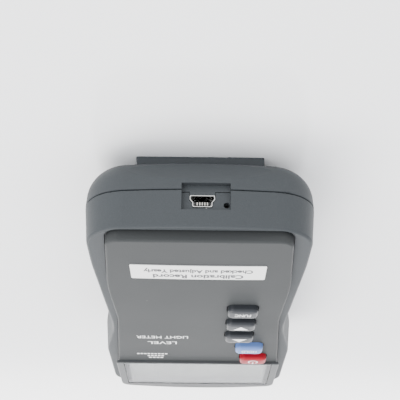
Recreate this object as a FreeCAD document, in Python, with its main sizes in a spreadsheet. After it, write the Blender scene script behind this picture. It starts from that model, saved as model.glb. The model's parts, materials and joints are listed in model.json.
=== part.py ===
"""Handheld light meter: a waisted two-part case, raised fascia, five keys, display and mini-USB port.

The meter lies on its back. +Z leaves the front, +Y points to the display end, and the USB end is at -Y.
The origin is under the middle of the case, on the surface that the meter rests on. Sizes are in mm.
"""

import FreeCAD, Part
import math
import os
import re

import Sketcher

Vector = FreeCAD.Vector

SIZES = [
    # the case
    ("end_near", 90.0), ("end_far", 90.0), ("near_half", 37.3), ("side_half", 37.6), ("waist_half", 35.3),
    ("far_half", 40.4), ("near_corner", 14.5), ("far_corner", 9.5), ("end_round", 220.0),
    ("far_end_round", 180.0), ("side_round", 150.0), ("waist_round", 70.0), ("hip_round", 40.0),
    ("waist_place", 8.0), ("hip_place", 36.0), ("chest_place", 58.0), ("wall", 2.2),
    ("back_level", 3.6), ("part_level", 17.2), ("part_gap", 0.3), ("part_edge", 0.35), ("rim_level", 30.0),
    ("front_draft", 5.0), ("rear_draft", 4.0), ("rim_edge", 0.9), ("back_edge", 11.0),
    ("facet_level", 13.8), ("facet_turn", 29.0), ("step_deep", 0.8), ("step_gap", 0.35), ("step_near", 1.4),
    ("boss_round", 4.6), ("boss_narrow", 3.6), ("post_round", 2.8), ("head_way", 3.2), ("shank_way", 1.7),
    # the fascia, display and label
    ("fascia_top", 33.2), ("fascia_edge", 0.8), ("fascia_skin", 2.2), ("skirt_wall", 1.8),
    ("fascia_near", 85.0), ("fascia_corner", 4.5), ("fascia_near_half", 29.4), ("fascia_chest_half", 32.1),
    ("fascia_waist_half", 31.0), ("fascia_far_half", 35.4), ("fascia_far", 78.9), ("fascia_bow", 7.0),
    ("fascia_chest", 46.0), ("fascia_waist", 12.0), ("fascia_hip", 50.0), ("fascia_far_round", 150.0),
    ("bezel_near", 42.4), ("bezel_half", 35.7), ("bezel_far", 79.0), ("bezel_high", 1.2), ("bezel_edge", 0.4),
    ("window_wide", 65.0), ("window_long", 32.4), ("window_middle", 59.4), ("window_thick", 0.9),
    ("view_wide", 60.0), ("view_long", 28.0), ("tape_thick", 0.15),
    ("label_wide", 45.2), ("label_long", 13.0), ("label_middle", 60.5), ("label_thick", 0.2),
    ("label_shift", 0.3), ("cell_wide", 59.6), ("cell_long", 30.4), ("cell_thick", 2.4), ("cell_up", 2.8),
    ("strip_place", 14.2), ("strip_wide", 53.6), ("strip_long", 1.6), ("frame_high", 5.6),
    # the keys
    ("key_wide", 11.2), ("key_long", 8.4), ("key_proud", 2.7), ("key_corner", 2.4), ("key_edge", 1.8),
    ("key_gap", 0.35), ("key_pitch", 14.85), ("key_first", 25.0), ("flange_thick", 0.9),
    ("flange_extra", 1.0), ("key_travel", 0.8), ("key_rest", 0.05), ("plunger_round", 1.6),
    ("switch_wide", 6.0), ("switch_high", 2.0), ("stem_round", 1.7), ("stem_high", 0.8), ("mat_thick", 0.75),
    ("mat_hole", 2.2), ("key_column", 16.4), ("hold_column", 21.2), ("power_column", 23.7),
    # the board and what stands on it
    ("board_under", 23.6), ("board_thick", 1.6), ("board_wide", 62.0), ("board_near", 83.6),
    ("board_far", 78.0), ("board_inset", 4.0),
    # the port
    ("port_shift", 0.75), ("port_low", 18.6), ("shell_wide", 7.9), ("shell_high", 4.0), ("shell_long", 8.6),
    ("shell_wall", 0.22), ("shell_clear", 0.15), ("recess_left", 9.6), ("recess_right", 5.8),
    ("recess_low", 15.0), ("recess_high", 24.1), ("recess_deep", 2.2), ("port_wall", 2.4), ("tab_wide", 8.4),
    ("tongue_place", 1.2), ("tongue_low", 20.4), ("tongue_wide", 4.9), ("tongue_high", 1.0),
    ("contact_pitch", 0.8), ("contact_wide", 0.3), ("contact_proud", 0.08),
    ("lamp_place", 8.4), ("lamp_level", 21.9), ("lamp_round", 1.0), ("lamp_deep", 2.6),
    # the probe socket
    ("jack_round", 5.0), ("jack_bore", 1.8), ("jack_long", 16.0), ("jack_tip", 0.5), ("nut_round", 6.3),
    # the stand, feet, battery and its door
    ("stand_wide", 42.4), ("stand_near", 80.0), ("stand_thick", 3.3), ("pin_place", 6.0),
    ("pin_level", 4.9), ("pin_round", 1.0), ("pin_extra", 4.6), ("barrel_round", 2.3), ("foot_round", 4.5),
    ("foot_place", 24.0), ("foot_far", 73.0),
    ("battery_wide", 26.5), ("battery_long", 45.5), ("battery_thick", 17.0), ("battery_shift", 2.0),
    ("stud_place", 6.4), ("stud_round", 2.9), ("stud_long", 2.4), ("door_wide", 34.0),
    ("door_long", 62.0), ("door_middle", 42.0), ("door_thick", 2.0), ("door_gap", 0.35),
]

doc = FreeCAD.newDocument("light_meter")
sheet = doc.addObject("Spreadsheet::Sheet", "Sizes")
for row, (alias, number) in enumerate(SIZES, start=1):
    sheet.set(f"A{row}", alias)
    sheet.set(f"B{row}", str(number))
    sheet.setAlias(f"B{row}", alias)
doc.recompute()

NODES = {}


def size(alias):
    """The number in the sheet's cell of that name."""
    return float(sheet.get(alias))


def rule(words):
    """An expression in which each size's name points at its cell."""
    return re.sub(r"[a-z][a-z_]{2,}", lambda word: "Sizes." + word.group(), words)


def bind(thing, field, words):
    """Drive a property of an object from the sheet."""
    thing.setExpression(field, rule(words))


def node(label, thing):
    """Name an object as a finished piece, which gets a file of its own."""
    thing.Label = label
    NODES[label] = thing
    return thing


# ---------------------------------------------------------------- primitives and booleans

def slab(name, middle, low, spans):
    """A box from its middle in X and Y, its lowest Z and its three spans, all as expressions."""
    piece = doc.addObject("Part::Box", name)
    for field, words in zip(("Length", "Width", "Height"), spans):
        bind(piece, field, words)
    bind(piece, "Placement.Base.x", f"{middle[0]} - ({spans[0]}) / 2")
    bind(piece, "Placement.Base.y", f"{middle[1]} - ({spans[1]}) / 2")
    bind(piece, "Placement.Base.z", low)
    return piece


def rod(name, foot, radius, length, axis="z"):
    """A cylinder that starts at its foot and runs along +Z, +Y or +X."""
    piece = doc.addObject("Part::Cylinder", name)
    bind(piece, "Radius", radius)
    bind(piece, "Height", length)
    turns = {"z": (Vector(0, 0, 1), 0), "y": (Vector(1, 0, 0), -90), "x": (Vector(0, 1, 0), 90)}
    turn_axis, degrees = turns[axis]
    piece.Placement.Rotation = FreeCAD.Rotation(turn_axis, degrees)
    for letter, words in zip("xyz", foot):
        bind(piece, "Placement.Base." + letter, words)
    return piece


def cut(name, base, tools):
    """The base less every tool."""
    piece = doc.addObject("Part::Cut", name)
    piece.Base = base
    piece.Tool = tools[0] if len(tools) == 1 else join(name + "_tools", tools)
    return piece


def join(name, parts):
    """The parts fused where they touch, and kept as separate solids where they do not."""
    piece = doc.addObject("Part::MultiFuse", name)
    piece.Shapes = parts
    return piece


def common(name, base, tool):
    """What two solids share."""
    piece = doc.addObject("Part::Common", name)
    piece.Base = base
    piece.Tool = tool
    return piece


# ---------------------------------------------------------------- bodies, sketches and features

def new_body(name):
    """An empty PartDesign body."""
    return doc.addObject("PartDesign::Body", name)


def sketch_on(body, name, level, role="XY_Plane"):
    """A sketch on one of the body's own origin planes, lifted by an expression."""
    sketch = body.newObject("Sketcher::SketchObject", name)
    plane = next(item for item in body.Origin.OriginFeatures if item.Role == role)
    sketch.AttachmentSupport = [(plane, "")]
    sketch.MapMode = "FlatFace"
    bind(sketch, "AttachmentOffset.Base.z", level)
    return sketch


def offset_corners(corners, inset):
    """Move a closed outline inwards. Corners run anticlockwise as (x, y, radius, name of the radius)."""
    moved = []
    count = len(corners)
    for index, (x, y, radius, name) in enumerate(corners):
        before = corners[index - 1]
        after = corners[(index + 1) % count]
        run_in = Vector(x - before[0], y - before[1], 0).normalize()
        run_out = Vector(after[0] - x, after[1] - y, 0).normalize()
        normal_in = Vector(-run_in.y, run_in.x, 0)
        normal_out = Vector(-run_out.y, run_out.x, 0)
        reach = (normal_in + normal_out) * (inset / (1 + normal_in.dot(normal_out)))
        turn = run_in.x * run_out.y - run_in.y * run_out.x
        new_radius = radius - inset if turn > 0 else radius + inset
        moved.append((x + reach.x, y + reach.y, max(new_radius, 0.4), name))
    return moved


def draw_loop(sketch, corners):
    """Draw a closed outline of straight runs and tangent arcs, and bind each named radius."""
    pieces = []
    count = len(corners)
    tangents = []
    for index, (x, y, radius, name) in enumerate(corners):
        before = corners[index - 1]
        after = corners[(index + 1) % count]
        corner = Vector(x, y, 0)
        run_in = Vector(x - before[0], y - before[1], 0).normalize()
        run_out = Vector(after[0] - x, after[1] - y, 0).normalize()
        turn = run_in.x * run_out.y - run_in.y * run_out.x
        half_turn = math.acos(max(-1.0, min(1.0, run_in.dot(run_out)))) / 2
        reach = radius * math.tan(half_turn)
        start = corner - run_in * reach
        end = corner + run_out * reach
        side = 1 if turn > 0 else -1
        centre = start + Vector(-run_in.y, run_in.x, 0) * radius * side
        tangents.append((start, end, centre, radius, side, name))
    for index, (start, end, centre, radius, side, name) in enumerate(tangents):
        first, last = (start, end) if side > 0 else (end, start)
        low = math.atan2(first.y - centre.y, first.x - centre.x)
        high = math.atan2(last.y - centre.y, last.x - centre.x)
        if high < low:
            high += 2 * math.pi
        circle = Part.Circle(centre, Vector(0, 0, 1), radius)
        ends = (1, 2) if side > 0 else (2, 1)
        arc = sketch.addGeometry(Part.ArcOfCircle(circle, low, high), False)
        pieces.append((arc, ends[0], ends[1]))
        if name:
            constraint = sketch.addConstraint(Sketcher.Constraint("Radius", arc, radius))
            inset = size(name) - radius
            sketch.setExpression(f"Constraints[{constraint}]", f"Sizes.{name} - {inset:.6f}")
        following = tangents[(index + 1) % count]
        if (following[0] - end).Length > 1e-6:
            line = sketch.addGeometry(Part.LineSegment(end, following[0]), False)
            pieces.append((line, 1, 2))
    for index, (geometry, start_end, finish_end) in enumerate(pieces):
        after = pieces[(index + 1) % len(pieces)]
        sketch.addConstraint(Sketcher.Constraint("Coincident", geometry, finish_end, after[0], after[1]))


def mirrored(half):
    """A whole outline from the corners of its +X half, which run from the near end to the far end."""
    other = [(-x, y, radius, name) for x, y, radius, name in reversed(half) if abs(x) > 1e-9]
    return half + other


def box_corners(middle_x, middle_y, wide, long, corner, name=None):
    """A rounded rectangle's corners."""
    left, right = middle_x - wide / 2, middle_x + wide / 2
    near, far = middle_y - long / 2, middle_y + long / 2
    return [(left, near, corner, name), (right, near, corner, name),
            (right, far, corner, name), (left, far, corner, name)]


def pad(body, name, sketch, length, draft=None, down=False):
    """A pad from a sketch. A negative draft draws its walls in."""
    feature = body.newObject("PartDesign::Pad", name)
    feature.Profile = sketch
    bind(feature, "Length", length)
    feature.Reversed = down
    if draft:
        bind(feature, "TaperAngle", draft)
    doc.recompute()
    return feature


def pocket(body, name, sketch, length, up=True):
    """A pocket from a sketch, which must take something away."""
    before = body.Shape.Volume
    feature = body.newObject("PartDesign::Pocket", name)
    feature.Profile = sketch
    bind(feature, "Length", length)
    feature.Reversed = up
    doc.recompute()
    if not body.Shape.Volume < before - 1e-6:
        raise RuntimeError(f"{name} takes nothing away")
    return feature


def level_edges(shape, level, slack=0.02):
    """The names of the edges that lie flat at one height."""
    names = []
    for index, edge in enumerate(shape.Edges, start=1):
        box = edge.BoundBox
        if abs(box.ZMin - level) < slack and abs(box.ZMax - level) < slack:
            names.append(f"Edge{index}")
    return names


def round_edges(body, name, base, level, radius):
    """Round every edge at one height."""
    feature = body.newObject("PartDesign::Fillet", name)
    feature.Base = (base, level_edges(base.Shape, level))
    bind(feature, "Radius", radius)
    doc.recompute()
    return feature


# ---------------------------------------------------------------- outlines

NEAR_SLOPE = 0.085
FAR_SLOPE = 0.167


def bow_over(radius, slope):
    """How far the point of two sloping runs stands past the arc that joins them."""
    return radius * (math.sqrt(1 + slope ** 2) - 1)


def case_outline(inset=0.0):
    """The waisted outline of the case at its parting line."""
    near_tip = -size("end_near") - bow_over(size("end_round"), NEAR_SLOPE)
    far_tip = size("end_far") + bow_over(size("far_end_round"), FAR_SLOPE)
    half = [
        (0.0, near_tip, size("end_round"), "end_round"),
        (size("near_half"), near_tip + NEAR_SLOPE * size("near_half"), size("near_corner"), "near_corner"),
        (size("side_half"), -size("chest_place"), size("side_round"), "side_round"),
        (size("waist_half"), size("waist_place"), size("waist_round"), "waist_round"),
        (size("far_half"), size("hip_place"), size("hip_round"), "hip_round"),
        (size("far_half"), far_tip - FAR_SLOPE * size("far_half"), size("far_corner"), "far_corner"),
        (0.0, far_tip, size("far_end_round"), "far_end_round"),
    ]
    return offset_corners(mirrored(half), inset)


def fascia_outline(inset=0.0, reach=0.0):
    """The outline of the raised fascia, whose near edge may reach further than the rest."""
    half = [
        (size("fascia_near_half"), -size("fascia_near") - reach, size("fascia_corner"), "fascia_corner"),
        (size("fascia_chest_half"), -size("fascia_chest"), 2 * size("waist_round"), None),
        (size("fascia_waist_half"), -size("fascia_waist"), size("waist_round"), "waist_round"),
        (size("fascia_far_half"), size("fascia_hip"), size("hip_round"), "hip_round"),
        (size("fascia_far_half"), size("fascia_far"), size("fascia_corner"), "fascia_corner"),
        (0.0, size("fascia_far") + size("fascia_bow"), size("fascia_far_round"), "fascia_far_round"),
    ]
    return offset_corners(mirrored(half), inset)


def bezel_outline():
    """The outline of the display bezel, which bows out at its far side like the fascia."""
    half = [
        (size("bezel_half"), size("bezel_near"), 2 * size("bezel_edge"), None),
        (size("bezel_half"), size("bezel_far"), size("fascia_corner"), "fascia_corner"),
        (0.0, size("bezel_far") + size("fascia_bow"), size("fascia_far_round"), "fascia_far_round"),
    ]
    return mirrored(half)


def outline_pad(name, corners, level, length, draft=None, down=False):
    """A body with one pad of an outline."""
    body = new_body(name)
    sketch = sketch_on(body, name + "_outline", level)
    draw_loop(sketch, corners)
    feature = pad(body, name + "_pad", sketch, length, draft, down)
    return body, feature


# ---------------------------------------------------------------- the case

COLUMNS = [("key_function", "key_column"), ("key_down", "key_column"), ("key_up", "key_column"),
           ("key_hold", "hold_column"), ("key_power", "power_column")]
KEY_PLACES = {
    name: (f"-{column}", f"-key_first + {index} * key_pitch") for index, (name, column) in enumerate(COLUMNS)
}
SCREW_PLACES = [("-28", "-60"), ("28", "-60"), ("-30.5", "66"), ("30.5", "66")]
POST_PLACES = [("-28.5", "-40"), ("28.5", "-40"), ("-28.5", "2"), ("28.5", "2")]
FRONT_START = "part_level + part_gap"
STEP_LEVEL = "rim_level - step_deep"
BOARD_TOP = "board_under + board_thick"
JACK_LEVEL = "part_level + part_gap / 2"
DOOR_LAND = "door_thick + 2.3"
RECESS_MIDDLE = "(recess_right - recess_left) / 2"
RECESS_WIDE = "recess_left + recess_right"
RECESS_FLOOR = "-end_near + recess_deep"
PORT_FACE = "end_near - recess_deep + 0.3"


def key_number(words):
    """Work out a key's place as a number."""
    total = 0.0
    for sign, term in re.findall(r"([+-]?)\s*((?:\d+ \* )?[a-z_]+)", words):
        factor, alias = term.split(" * ") if " * " in term else ("1", term)
        total += (-1 if sign == "-" else 1) * float(factor) * size(alias)
    return total


def port_corners(inset):
    """The mini-B outline in the XZ plane: wide side down, with stepped-in shoulders above."""
    half = size("shell_wide") / 2
    narrow = half - 0.85
    high = size("shell_high")
    low = size("port_low")
    middle = -size("port_shift")
    shoulder, neck = low + 0.36 * high, low + 0.62 * high
    corners = [
        (middle - half, low, 0.4, None), (middle + half, low, 0.4, None),
        (middle + half, shoulder, 0.3, None), (middle + narrow, neck, 0.3, None),
        (middle + narrow, low + high, 0.5, None), (middle - narrow, low + high, 0.5, None),
        (middle - narrow, neck, 0.3, None), (middle - half, shoulder, 0.3, None),
    ]
    return offset_corners(corners, inset)


def port_prism(name, face, length, inset):
    """A body with the socket's outline that runs from its face towards +Y."""
    body = new_body(name)
    sketch = sketch_on(body, name + "_outline", face, "XZ_Plane")
    draw_loop(sketch, port_corners(inset))
    pad(body, name + "_pad", sketch, length, down=True)
    return body


def front_lands(shell):
    """What stands inside the front half: the wall behind the port, the screw bosses and the board posts."""
    lands = [shell]
    lands.append(slab("port_block", (RECESS_MIDDLE, f"{RECESS_FLOOR} + port_wall / 2 - 0.5"), FRONT_START,
                      (f"{RECESS_WIDE} + 4", "port_wall + 1", f"recess_high + 2 - ({FRONT_START})")))
    for index, (x, y) in enumerate(SCREW_PLACES):
        lands.append(rod(f"front_boss_{index}", (x, y, FRONT_START), "boss_narrow", "10"))
    for index, (x, y) in enumerate(POST_PLACES):
        lands.append(rod(f"board_post_{index}", (x, y, BOARD_TOP), "post_round",
                         f"{STEP_LEVEL} - 1 - ({BOARD_TOP})"))
    return join("front_lands", lands)


def front_openings():
    """What is cut out of the front half."""
    step, _ = outline_pad("fascia_step", fascia_outline(-size("step_gap"), size("step_near")), STEP_LEVEL,
                          "step_deep + 1")
    window_low = f"{STEP_LEVEL} - 4"
    tools = [step]
    tools.append(slab("key_window", ("-4", "-8"), window_low, ("42", "92", "6")))
    tools.append(slab("power_window", ("-20.5", "26"), window_low, ("22", "34", "6")))
    tools.append(slab("display_opening", ("0", "window_middle"), window_low, ("64.4", "34", "6")))
    tools.append(slab("front_recess", (RECESS_MIDDLE, f"{RECESS_FLOOR} - 5"), f"{FRONT_START} - 1",
                      (RECESS_WIDE, "10", f"recess_high + 1 - ({FRONT_START})")))
    tools.append(port_prism("port_hole", "end_near + 2", "10", -size("shell_clear")))
    tools.append(slab("port_notch", ("-port_shift", "-end_near + 4"), f"{FRONT_START} - 1",
                      ("tab_wide", "8", f"port_low + 1.2 - ({FRONT_START})")))
    tools.append(rod("lamp_hole", ("-lamp_place", "-end_near", "lamp_level"), "lamp_round", "8", "y"))
    for index, (x, y) in enumerate(SCREW_PLACES):
        tools.append(rod(f"front_thread_{index}", (x, y, f"{FRONT_START} - 1"), "1.26", "8.4"))
    for index, (x, y) in enumerate(POST_PLACES):
        tools.append(rod(f"post_thread_{index}", (x, y, f"{BOARD_TOP} - 1"), "1.01", "4"))
    tools.append(rod("probe_hole_front", ("0", "end_far - 12", JACK_LEVEL), "jack_round + 0.05", "20", "y"))
    return tools


def make_front_cover():
    """The front half: a drafted shell with a stepped rim, the port recess, screw bosses and posts."""
    outer, wall_pad = outline_pad("front_outer", case_outline(), FRONT_START,
                                  f"rim_level - ({FRONT_START})", "-front_draft")
    rim = round_edges(outer, "front_rim_round", wall_pad, size("rim_level"), "rim_edge")
    start = size("part_level") + size("part_gap")
    round_edges(outer, "front_part_round", rim, start, "part_edge")
    inside, _ = outline_pad("front_inside", case_outline(size("wall")), f"{FRONT_START} - 1",
                            f"{STEP_LEVEL} - 1 - ({FRONT_START})", "-front_draft")
    solid = front_lands(cut("front_shell", outer, [inside]))
    node("front_cover", cut("front_cover", solid, front_openings()))


def rear_lands(shell):
    """What stands inside the rear half: bosses, hinge and door lands, battery walls and the port's tab."""
    land_top = f"back_level + {DOOR_LAND}"
    lands = [shell]
    for index, (x, y) in enumerate(SCREW_PLACES):
        lands.append(rod(f"rear_boss_{index}", (x, y, "back_level + 1.8"), "boss_round",
                         "part_level - back_level - 1.8"))
    lands.append(slab("hinge_block", ("0", "-pin_place"), "back_level", ("stand_wide + 7", "13", "6.4")))
    lands.append(slab("door_land", ("0", "door_middle"), "back_level",
                      ("door_wide + 4", "door_long + 4", DOOR_LAND)))
    for side in (-1, 1):
        lands.append(slab(f"battery_wall_{side + 1}", (f"{side} * (battery_wide / 2 + 1.4)", "door_middle"),
                          f"{land_top} - 0.5", ("1.6", "battery_long + 9", "8")))
    lands.append(slab("battery_stop", ("0", "door_middle + battery_long / 2 + 5.3"), f"{land_top} - 0.5",
                      ("battery_wide + 4.4", "1.6", "8")))
    wall_middle = f"{RECESS_FLOOR} + port_wall / 2"
    lands.append(slab("port_sill", (RECESS_MIDDLE, wall_middle), "recess_low - 2.5",
                      (f"{RECESS_WIDE} + 4", "port_wall", "part_level - recess_low + 2.5")))
    lands.append(slab("port_tab", ("-port_shift", wall_middle), "recess_low",
                      ("tab_wide - 0.3", "port_wall", "port_low - 0.12 - recess_low")))
    return join("rear_lands", lands)


def near_facet():
    """The block whose tilted face takes a shallow slice off the near end, under the port."""
    block_long, block_high = 20.0, 60.0
    draft = math.tan(math.radians(size("rear_draft")))
    place = -size("end_near") + (size("part_level") - size("facet_level")) * draft
    turn = math.radians(size("facet_turn"))
    facet = doc.addObject("Part::Box", "near_facet")
    facet.Length = 4 * size("near_half")
    facet.Width = block_long
    facet.Height = block_high
    reach = Vector(0, block_long * math.cos(turn), block_long * math.sin(turn))
    down = Vector(0, -block_high * math.sin(turn), block_high * math.cos(turn))
    top_edge = Vector(-2 * size("near_half"), place, size("facet_level"))
    facet.Placement = FreeCAD.Placement(top_edge - reach - down / 2, FreeCAD.Rotation(Vector(1, 0, 0),
                                                                                     size("facet_turn")))
    return facet


def rear_openings():
    """What is cut out of the rear half."""
    below = "back_level - 2"
    tools = [slab("rear_recess", (RECESS_MIDDLE, f"{RECESS_FLOOR} - 5"), "recess_low",
                  (RECESS_WIDE, "10", "6"))]
    tools.append(slab("hinge_slot", ("0", "-pin_place"), below,
                      ("stand_wide + 0.8", "2 * pin_level + 1.0", "2 + 4.4")))
    tools.append(rod("hinge_bore", ("-(stand_wide + pin_extra) / 2 - 0.1", "-pin_place", "pin_level"),
                     "pin_round", "stand_wide + pin_extra + 0.2", "x"))
    tools.append(slab("door_opening", ("0", "door_middle"), below,
                      ("door_wide + 2 * door_gap", "door_long + 2 * door_gap", "2 + door_thick + 0.3")))
    tools.append(slab("battery_opening", ("0", "door_middle"), "back_level",
                      ("battery_wide + 1.2", "battery_long + 9", "16")))
    for index, (x, y) in enumerate(SCREW_PLACES):
        tools.append(rod(f"rear_screw_way_{index}", (x, y, below), "shank_way", "30"))
        tools.append(rod(f"rear_head_way_{index}", (x, y, below), "head_way", "2 + 6"))
    tools.append(rod("probe_hole_rear", ("0", "end_far - 12", JACK_LEVEL), "jack_round + 0.05", "20", "y"))
    return tools


def make_rear_cover():
    """The rear half: drafted, rounded under, with a flat facet at the near end and the door opening."""
    floor = 2.0
    outer, wall_pad = outline_pad("rear_outer", case_outline(), "part_level",
                                  "part_level - back_level", "-rear_draft", down=True)
    under = round_edges(outer, "rear_edge_round", wall_pad, size("back_level"), "back_edge")
    round_edges(outer, "rear_part_round", under, size("part_level"), "part_edge")
    inside, inside_pad = outline_pad("rear_inside", case_outline(size("wall")), "part_level + 1",
                                     f"part_level + 1 - back_level - {floor}", "-rear_draft", down=True)
    round_edges(inside, "rear_inside_round", inside_pad, size("back_level") + floor, f"back_edge - {floor}")
    solid = rear_lands(cut("rear_shell", outer, [inside]))
    trimmed = cut("rear_trimmed", solid, [near_facet()])
    node("rear_cover", cut("rear_cover", trimmed, rear_openings()))


def make_fascia():
    """The raised fascia: a skin with a skirt, key openings and the display opening."""
    level = f"{STEP_LEVEL} + 0.02"
    body, plate = outline_pad("fascia_body", fascia_outline(), level, f"fascia_top - ({level})")
    round_edges(body, "fascia_round", plate, size("fascia_top"), "fascia_edge")
    hollow_sketch = sketch_on(body, "fascia_hollow_outline", level)
    draw_loop(hollow_sketch, fascia_outline(size("skirt_wall")))
    pocket(body, "fascia_hollow", hollow_sketch, f"fascia_top - fascia_skin - ({level})")
    tools = []
    for name, (x, y) in KEY_PLACES.items():
        opening = new_body(name + "_opening")
        sketch = sketch_on(opening, name + "_opening_outline", "fascia_top - 5")
        gap = 2 * size("key_gap")
        corners = box_corners(key_number(x), key_number(y), size("key_wide") + gap,
                              size("key_long") + gap, size("key_corner") + size("key_gap"))
        draw_loop(sketch, corners)
        pad(opening, name + "_opening_pad", sketch, "8")
        tools.append(opening)
    tools.append(slab("view_opening", ("0", "window_middle"), "fascia_top - 5",
                      ("view_wide", "view_long", "8")))
    node("fascia_panel", cut("fascia_panel", body, tools))


def make_display():
    """The bezel, window, tape, display cell, light guide, frame and contact strips."""
    middle = ("0", "window_middle")
    body, plate = outline_pad("bezel_body", bezel_outline(), "fascia_top", "bezel_high")
    round_edges(body, "bezel_round", plate, size("fascia_top") + size("bezel_high"), "bezel_edge")
    opening = slab("bezel_opening", middle, "fascia_top - 1", ("window_wide + 0.2", "window_long + 0.2", "4"))
    node("display_bezel", cut("display_bezel", body, [opening]))
    tape_outer = slab("tape_outer", middle, "fascia_top", ("window_wide", "window_long", "tape_thick"))
    tape_inner = slab("tape_inner", middle, "fascia_top - 1", ("view_wide + 1", "view_long + 1", "3"))
    node("window_tape", cut("window_tape", tape_outer, [tape_inner]))
    node("display_window", slab("window_plate", middle, "fascia_top + tape_thick",
                                ("window_wide", "window_long", "window_thick")))
    frame_outer = slab("frame_outer", middle, BOARD_TOP, ("cell_wide + 3.8", "cell_long + 2.6", "frame_high"))
    frame_inner = slab("frame_inner", middle, f"{BOARD_TOP} + 1", ("cell_wide + 0.2", "cell_long + 0.2", "8"))
    strip_ways, strips = [], []
    for side in (-1, 1):
        place = ("0", f"window_middle + {side} * strip_place")
        strip_ways.append(slab(f"strip_way_{side + 1}", place, f"{BOARD_TOP} - 1",
                               ("strip_wide + 0.4", "strip_long + 0.2", "4")))
        strips.append(slab(f"strip_{side + 1}", place, BOARD_TOP, ("strip_wide", "strip_long", "cell_up")))
    node("lcd_frame", cut("lcd_frame", frame_outer, [frame_inner] + strip_ways))
    node("contact_strips", join("strip_pair", strips))
    node("backlight", slab("light_guide", middle, f"{BOARD_TOP} + 1",
                           ("cell_wide", "2 * strip_place - strip_long - 0.6", "cell_up - 1")))
    node("lcd_glass", slab("cell", middle, f"{BOARD_TOP} + cell_up",
                           ("cell_wide", "cell_long", "cell_thick")))


def make_label():
    """The stuck-on label."""
    node("front_label", slab("label_plate", ("label_shift", "-label_middle"), "fascia_top",
                             ("label_wide", "label_long", "label_thick")))


# ---------------------------------------------------------------- the keys and what is under them

def make_key(name, x, y):
    """A rounded cap on a flange, with a plunger below."""
    under_skin = "fascia_top - fascia_skin"
    plunger_low = f"{BOARD_TOP} + switch_high + stem_high + key_travel + key_rest"
    middle_x, middle_y = key_number(x), key_number(y)
    wide, long, extra = size("key_wide"), size("key_long"), 2 * size("flange_extra")
    body = new_body(name)
    flange = sketch_on(body, name + "_flange_outline", f"{under_skin} - 0.2")
    draw_loop(flange, box_corners(middle_x, middle_y, wide + extra, long + extra, size("key_corner")))
    pad(body, name + "_flange", flange, "flange_thick", down=True)
    cap = sketch_on(body, name + "_cap_outline", f"{under_skin} - 0.3")
    draw_loop(cap, box_corners(middle_x, middle_y, wide, long, size("key_corner"), "key_corner"))
    top = pad(body, name + "_cap", cap, "fascia_skin + key_proud + 0.3")
    round_edges(body, name + "_round", top, size("fascia_top") + size("key_proud"), "key_edge")
    plunger = rod(name + "_plunger", (x, y, plunger_low), "plunger_round",
                  f"{under_skin} - 0.25 - ({plunger_low})")
    node(name, join(name + "_whole", [body, plunger]))


def make_keys():
    """Five keys, the switches and stems under them and the mat between."""
    housings, stems, holes = [], [], []
    mat_low = f"{BOARD_TOP} + switch_high + stem_high + key_rest"
    for name, (x, y) in KEY_PLACES.items():
        make_key(name, x, y)
        housings.append(slab(name + "_switch", (x, y), BOARD_TOP,
                             ("switch_wide", "switch_wide", "switch_high")))
        stems.append(rod(name + "_stem", (x, y, f"{BOARD_TOP} + switch_high"), "stem_round", "stem_high"))
        holes.append(rod(name + "_mat_hole", (x, y, f"{mat_low} - 1"), "mat_hole", "5"))
    node("key_switches", join("switch_group", housings))
    node("switch_stems", join("stem_group", stems))
    mats = [slab("mat_near", ("-16.2", "-9.8"), mat_low, ("16.4", "42.4", "mat_thick")),
            slab("mat_far", ("-21.5", "26"), mat_low, ("18", "31", "mat_thick"))]
    node("keypad_mat", cut("keypad_mat", join("mat_plates", mats), holes))


# ---------------------------------------------------------------- the board and the port

def make_board():
    """The main board and its parts."""
    blank = slab("board_blank", ("0", "(board_far - board_near) / 2"), "board_under",
                 ("board_wide", "board_near + board_far", "board_thick"))
    rounded, _ = outline_pad("board_outline", case_outline(size("board_inset")), "board_under - 1",
                             "board_thick + 2")
    plate = common("board_plate", blank, rounded)
    tools = []
    for index, (x, y) in enumerate(SCREW_PLACES):
        tools.append(rod(f"board_boss_way_{index}", (x, y, "board_under - 1"), "3.9", "4"))
    for index, (x, y) in enumerate(POST_PLACES):
        tools.append(rod(f"board_screw_way_{index}", (x, y, "board_under - 1"), "1.2", "4"))
    node("main_board", cut("main_board", plate, tools))
    node("processor_chip", slab("processor", ("14", "0"), BOARD_TOP, ("12", "12", "1.4")))
    node("amplifier_chip", slab("amplifier", ("14", "22"), BOARD_TOP, ("5", "6", "1.4")))
    node("clock_crystal", slab("crystal", ("4", "2"), BOARD_TOP, ("3.8", "9", "2.6")))
    cans = [rod(f"can_{index}", (x, y, BOARD_TOP), "2.5", "3.4")
            for index, (x, y) in enumerate([("6", "-24"), ("14", "-24"), ("6", "-34")])]
    node("board_capacitors", join("can_group", cans))
    node("usb_chip", slab("bridge_chip", ("-port_shift", "-66"), BOARD_TOP, ("6", "8", "1.4")))
    screws = []
    for index, (x, y) in enumerate(POST_PLACES):
        head = rod(f"board_head_{index}", (x, y, "board_under - 1.4"), "2", "1.4")
        shank = rod(f"board_shank_{index}", (x, y, "board_under - 0.5"), "1", "board_thick + 3.2")
        screws.append(join(f"board_screw_{index}", [head, shank]))
    node("board_screws", join("board_screw_group", screws))


def contact_rods(name, front, low, high):
    """Five contact boxes side by side, from a front place on."""
    return [slab(f"{name}_{index}", (f"-port_shift + {index - 2} * contact_pitch", f"{front} + 2.8"), low,
                 ("contact_wide", "5.6", high)) for index in range(5)]


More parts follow.
